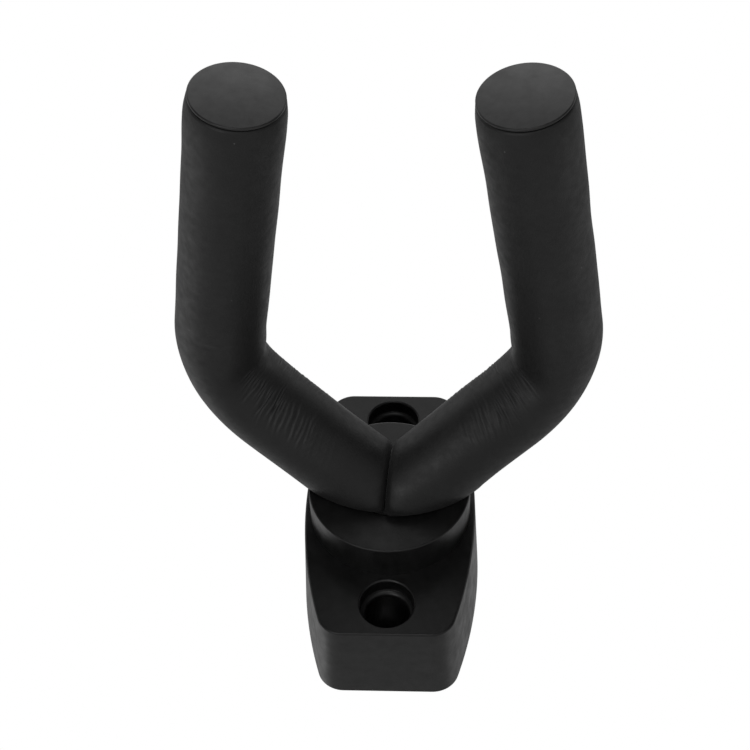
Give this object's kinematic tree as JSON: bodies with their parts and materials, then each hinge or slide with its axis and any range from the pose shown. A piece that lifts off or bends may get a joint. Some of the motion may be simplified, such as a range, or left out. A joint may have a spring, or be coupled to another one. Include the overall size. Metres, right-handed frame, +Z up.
{
  "type": "wall guitar hanger",
  "caption": "Wall hanger for a guitar: a foam padded steel yoke that swivels in a moulded plastic wall base with counterbored screw holes.",
  "frame": {"origin": "centre of the base's back, on the wall plane, on the swivel's axis", "axes": "+Z up the wall, +Y into the wall, +X to the right as seen from the room; the yoke points along -Y"},
  "size_m": [0.1152, 0.1712, 0.0866],
  "materials": {
    "base_plastic": "black moulded plastic, satin, fine mould texture",
    "cap_plastic": "black moulded plastic, smooth satin",
    "foam": "black closed-cell foam rubber, matte skin",
    "nylon": "natural nylon",
    "zinc_steel": "bright zinc plate",
    "black_steel": "black powder coat"
  },
  "bodies": {
    "base": {"base_body": "base_plastic", "pivot_bush_front": "nylon", "pivot_bush_rear": "nylon"},
    "fork": {"hub_plate": "black_steel", "pivot_stud": "zinc_steel", "thrust_washer": "zinc_steel", "spring_washer": "black_steel", "lock_nut": "zinc_steel", "lock_nut_ring": "nylon", "fork_rod": "black_steel", "foam_sleeve_left": "foam", "foam_sleeve_right": "foam", "end_cap_left": "cap_plastic", "end_cap_right": "cap_plastic"}
  },
  "joints": [
    {"name": "fork_swivel", "type": "hinge", "parent": "base", "child": "fork", "pos_m": [0, -0.04, 0], "axis": [0, -1, 0], "continuous": true}
  ]
}
